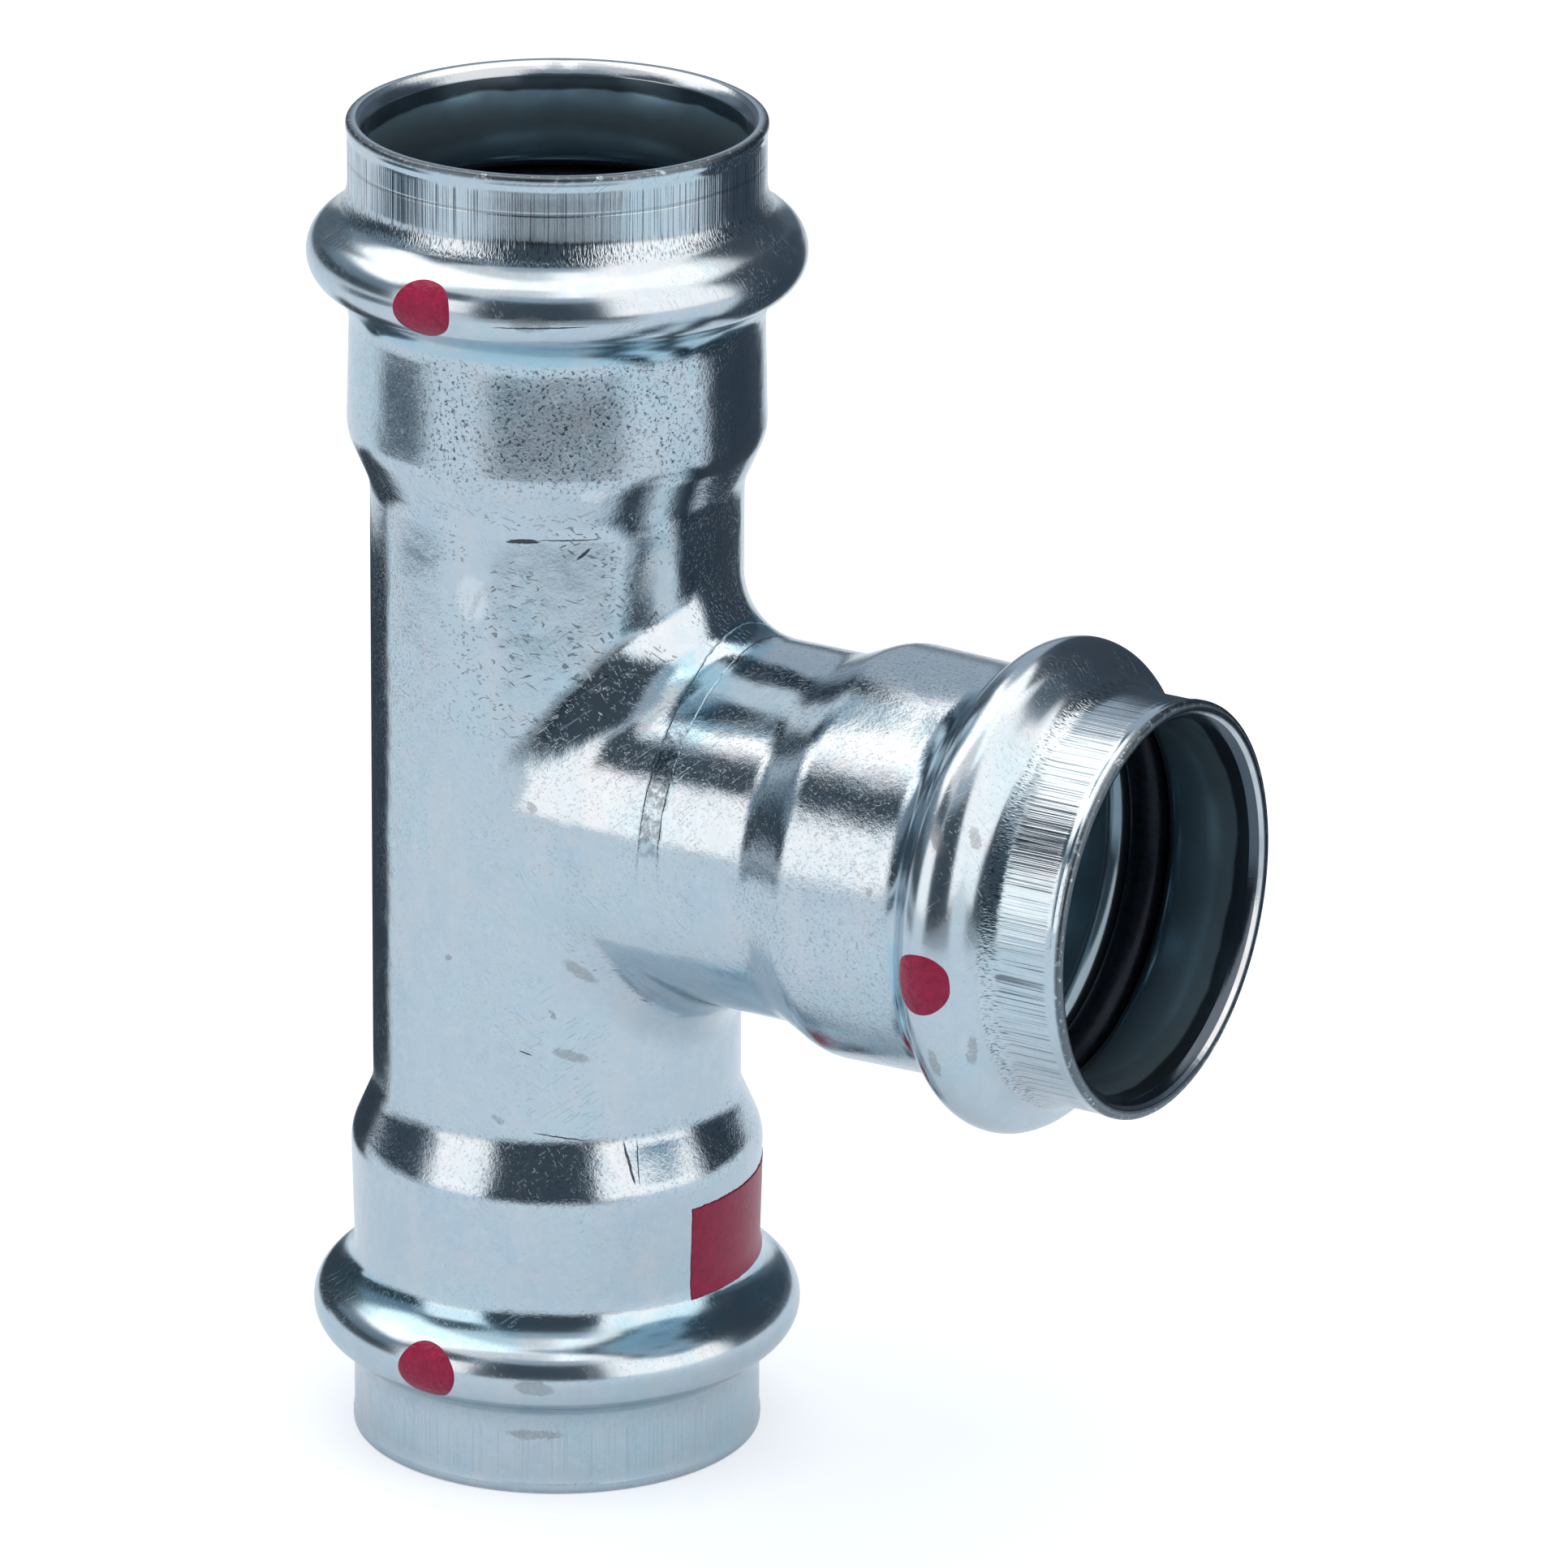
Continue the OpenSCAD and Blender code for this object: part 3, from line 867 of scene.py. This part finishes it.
def dress(piece, node, material):
    """Gives a piece its material, and lets it stand for its node."""
    piece.data.materials.append(material)
    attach(piece, "root")
    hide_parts(node)


dress(tee_shell(), "tee_body", zinc_material)
for end in ("upper", "lower", "branch"):
    dress(seal_ring(f"{end}_seal", end), f"{end}_seal_ring", rubber_material)
for seed, (end, middle) in enumerate(dot_angles.items(), first_dot_seed):
    dot = paint_dot(f"{end}_dot", end, math.radians(middle), seed)
    dress(dot, f"{end}_paint_dot", paint_material)
dress(printed_block("red_block"), "printed_block", paint_material)


# Signs of a square's corners, in order round it
square = ((-1, -1), (1, -1), (1, 1), (-1, 1))


def stage_piece(name, corners, material):
    """One oblong sheet of the studio, with its corners in millimetres."""
    mesh = bpy.data.meshes.new(name)
    mesh.from_pydata([Vector(c) * MM for c in corners], [], [(0, 1, 2, 3)])
    mesh.materials.append(material)
    piece = bpy.data.objects.new(name, mesh)
    bpy.context.scene.collection.objects.link(piece)
    return piece


def dark_cover(f, name, corners, cover, shade):
    """A dark sheet that only mirror rays meet, there where cover is 1."""
    f.shader.inputs["Base Color"].default_value = (*shade, 1)
    f.shader.inputs["Roughness"].default_value = 1
    f.shader.inputs["Specular IOR Level"].default_value = 0
    clear = f.nodes.new("ShaderNodeBsdfTransparent")
    mix = f.node("ShaderNodeMixShader", cover, clear.outputs[0], f.shader.outputs[0])
    f.links.new(mix, f.nodes["Material Output"].inputs["Surface"])
    piece = stage_piece(name, corners, f.material)
    piece.visible_camera = piece.visible_diffuse = piece.visible_shadow = False
    return piece


def card(name, azimuth, distance, height, width, length, soft, shade):
    """A dark card with soft edges that stands about a point at the given azimuth, distance and
    height, and faces the tee."""
    f = Finish(name)
    across, up = (f.math("ABSOLUTE", f.node("ShaderNodeSeparateXYZ", f.place, socket=s)) for s in "XZ")
    cover = f.times(f.rise(across, width / 2, width / 2 - soft),
                    f.rise(up, length / 2, length / 2 - soft))
    corners = [(i * width / 2, 0, j * length / 2) for i, j in square]
    piece = dark_cover(f, name, corners, cover, shade)
    angle = math.radians(azimuth)
    place = Vector((distance * math.sin(angle), -distance * math.cos(angle), height)) * MM
    piece.matrix_world = Matrix.Translation(place) @ Matrix.Rotation(angle, 4, "Z")


def cloth(name, azimuth, half, side_soft, near, far, soft, shade):
    """A dark cloth that lies on the floor: the sector of a ring round the tee, half degrees to each
    side of its azimuth and from near to far, with soft edges."""
    f = Finish(name)
    x, y = (f.node("ShaderNodeSeparateXYZ", f.place, socket=s) for s in "XY")
    off = f.math("ABSOLUTE", f.math("SUBTRACT", f.azimuth(x, y), azimuth))
    away = f.vector("LENGTH", f.place, socket="Value")
    cover = f.times(f.rise(off, half + side_soft, half - side_soft), f.band(away, near, far, soft))
    corners = [(i * far, j * far, 0) for i, j in square]
    dark_cover(f, name, corners, cover, shade).location.z = cloth_height * MM


# The camera's azimuth (from -Y towards +X), elevation and roll in degrees, its distance from the
# middle of the run, how far beside and above that it aims, and its lens, in millimetres
view_azimuth = 31.18
view_elevation = 20.0
view_roll = 0.44
view_distance = 833.9
aim_side = 17.1
aim_up = -0.4
focal_length = 253.9
sensor_width = 36


def place_camera():
    """The camera at its azimuth and elevation, turned about its own axis by the roll."""
    azimuth, elevation, roll = (math.radians(a) for a in (view_azimuth, view_elevation, view_roll))
    back = Vector((math.sin(azimuth) * math.cos(elevation), -math.cos(azimuth) * math.cos(elevation),
                   math.sin(elevation)))
    level = Vector((math.cos(azimuth), math.sin(azimuth), 0))
    upright = back.cross(level)
    right = math.cos(roll) * level + math.sin(roll) * upright
    up = math.cos(roll) * upright - math.sin(roll) * level
    data = bpy.data.cameras.new("camera")
    data.sensor_width = sensor_width
    data.lens = focal_length
    data.clip_start, data.clip_end = 0.05, 20
    camera = bpy.data.objects.new("camera", data)
    bpy.context.scene.collection.objects.link(camera)
    place = Vector((0, 0, branch_height)) + back * view_distance + right * aim_side + up * aim_up
    axes = Matrix((right, up, back)).transposed().to_4x4()
    camera.matrix_world = Matrix.Translation(place * MM) @ axes
    bpy.context.scene.camera = camera


def softbox(name, place, width, height, radiance):
    """An area lamp whose face looks at the middle of the tee, as bright as radiance times white."""
    data = bpy.data.lights.new(name, "AREA")
    data.shape = "RECTANGLE"
    data.size, data.size_y = width * MM, height * MM
    data.energy = radiance * math.pi * data.size * data.size_y
    lamp = bpy.data.objects.new(name, data)
    bpy.context.scene.collection.objects.link(lamp)
    target = Vector((0, 0, branch_height))
    lamp.matrix_world = (Matrix.Translation(place * MM)
                         @ (place - target).to_track_quat("Z", "Y").to_matrix().to_4x4())
    lamp.visible_camera = lamp.visible_glossy = False


def glossy_share(nodes, links, camera_share, mirror_share):
    """An output that is camera_share for camera rays, mirror_share for glossy and transmission
    rays, and 0 for the rest."""
    rays = nodes.new("ShaderNodeLightPath")
    total = None
    for ray, share in (("Is Camera Ray", camera_share), ("Is Glossy Ray", mirror_share),
                       ("Is Transmission Ray", mirror_share)):
        part = nodes.new("ShaderNodeMath")
        part.operation = "MULTIPLY_ADD"
        links.new(rays.outputs[ray], part.inputs[0])
        part.inputs[1].default_value = share
        part.inputs[2].default_value = 0
        if total:
            links.new(total, part.inputs[2])
        total = part.outputs[0]
    return total


def tent():
    """A large dome round the tee that only mirror rays meet: bright overhead, with wide soft
    panels. Each panel is a range of azimuth and a range of elevation, with soft edges."""
    bpy.ops.mesh.primitive_uv_sphere_add(segments=96, ring_count=48, radius=tent_radius * MM)
    dome = bpy.context.object
    dome.name = "tent"
    f = Finish("tent")
    way = f.vector("NORMALIZE", f.place)
    parts = f.nodes.new("ShaderNodeSeparateXYZ")
    f.feed(parts.inputs[0], way)
    x, y, z = parts.outputs
    height = f.times(f.math("ARCSINE", z), 180 / math.pi)
    turn = f.azimuth(x, y)
    light = f.sum(tent_light, f.times(f.rise(height, *overhead_rise), overhead_gain))
    for middle, half, side_soft, low, high, soft, shade in tent_panels:
        off = f.math("ABSOLUTE", f.math("WRAP", f.math("SUBTRACT", turn, middle), 180.0, -180.0))
        inside = f.times(f.rise(off, half + side_soft, half - side_soft),
                         f.band(height, low, high, soft))
        light = f.node("ShaderNodeMix", inside, light, shade, data_type="FLOAT")
    glow = f.nodes.new("ShaderNodeEmission")
    f.feed(glow.inputs["Color"], f.blend(f.rise(light, 0.1, 1.2), tent_shade, tent_white))
    f.feed(glow.inputs["Strength"], light)
    f.links.new(glow.outputs[0], f.nodes["Material Output"].inputs["Surface"])
    f.material.cycles.emission_sampling = "NONE"
    dome.data.materials.append(f.material)
    dome.visible_camera = dome.visible_diffuse = dome.visible_shadow = False


def studio():
    """A pale floor, a wide soft lamp overhead with two weaker ones beside it, the tent, and what the
    steel mirrors: two dark cards close behind the tee, and two dark cloths in front of it."""
    material = bpy.data.materials.new("floor")
    material.use_nodes = True
    nodes, links = material.node_tree.nodes, material.node_tree.links
    nodes["Principled BSDF"].inputs["Base Color"].default_value = (*floor_grey, 1)
    nodes["Principled BSDF"].inputs["Roughness"].default_value = 1
    nodes["Principled BSDF"].inputs["Specular IOR Level"].default_value = 0
    stage_piece("floor", [(i * floor_reach, j * floor_reach, 0) for i, j in square], material)
    white = nodes.new("ShaderNodeEmission")
    white.inputs["Color"].default_value = (1, 1, 1, 1)
    lift = nodes.new("ShaderNodeAddShader")
    links.new(glossy_share(nodes, links, floor_lift, mirror_lift), white.inputs["Strength"])
    links.new(nodes["Principled BSDF"].outputs[0], lift.inputs[0])
    links.new(white.outputs[0], lift.inputs[1])
    links.new(lift.outputs[0], nodes["Material Output"].inputs["Surface"])

    tent()
    for row in dark_cards:
        card(*row)
    for row in dark_cloths:
        cloth(*row)
    for name, turn, distance, height, width, length, radiance in lamps:
        angle = math.radians(turn)
        place = Vector((distance * math.sin(angle), -distance * math.cos(angle), height))
        softbox(name, place, width, length, radiance)

    world = bpy.data.worlds.new("studio")
    world.use_nodes = True
    bpy.context.scene.world = world
    nodes, links = world.node_tree.nodes, world.node_tree.links
    mix = nodes.new("ShaderNodeMix")
    mix.data_type = "RGBA"
    seen, unseen_colour, seen_colour = (s for s in mix.inputs if s.enabled)
    links.new(glossy_share(nodes, links, 1, 1), seen)
    unseen_colour.default_value = (*world_grey, 1)
    seen_colour.default_value = (1, 1, 1, 1)
    links.new(mix.outputs[2], nodes["Background"].inputs["Color"])


# The floor's half width in millimetres, its colour and what it gives camera and mirror rays on top,
# and the world's grey for all other rays
floor_reach = 4000
floor_grey = (0.62, 0.68, 0.74)
floor_lift = 0.56
mirror_lift = 0.28
world_grey = (0.4, 0.4, 0.41)

# The tent: its radius in millimetres, its radiance, the elevations between which that grows by a
# gain, and its tint where it is dim and where it is bright
tent_radius = 1600
tent_light = 0.95
overhead_rise = (44, 58)
overhead_gain = 0.85
tent_shade = (0.72, 0.94, 1.16)
tent_white = (1.06, 0.97, 0.93)

# Panels of the tent, as middle azimuth (from -Y towards +X), half width and its softness, lowest and
# highest elevation and their softness, all in degrees, and the radiance of each
tent_panels = [
    (-10, 38, 6, 50, 82, 5, 1.0),
    (-97, 39, 8, 37, 95, 4, 2.0),
    (-84, 40, 8, -40, 29, 8, 0.30),
    (-84, 40, 8, -40, 13, 7, 0.09),
    (87, 31, 4, -30, 72, 6, 1.5),
    (-173, 67, 5, -40, 40, 5, 0.15),
    (-146, 13, 5, 12, 58, 8, 0.55),
    (-27, 18, 4, -40, 31, 4, 1.5),
    (-32, 20, 4, 33, 49, 3, 0.1),
    (25, 33, 7, 44, 61, 3, 0.55),
    (24, 31, 3, -40, 45, 4, 0.09),
]

# Dark cards: name, azimuth, distance, height of the middle, width, length, soft edge and shade
dark_cards = [
    ("left_card", -116, 65, 28, 76, 54, 5, (0.08, 0.10, 0.12)),
    ("right_card", 145, 66, 88, 86, 136, 6, (0.105, 0.13, 0.16)),
]

# Dark cloths: name, azimuth, half width and its softness, nearest and farthest, softness and shade,
# and their height over the floor
cloth_height = 2
dark_cloths = [
    ("front_cloth", 31, 36, 8, 230, 1500, 6, (0.012, 0.016, 0.022)),
    ("left_cloth", -61, 17, 9, 235, 460, 14, (0.13, 0.17, 0.2)),
]

# Lamps: name, azimuth, distance, height, width, length and radiance
lamps = [
    ("overhead_lamp", 0, 0, 950, 1150, 1150, 1.35),
    ("right_lamp", 95, 800, 420, 500, 600, 1.2),
    ("left_lamp", -40, 800, 420, 400, 600, 1.2),
]

place_camera()
studio()
bpy.context.scene.view_settings.view_transform = "Standard"
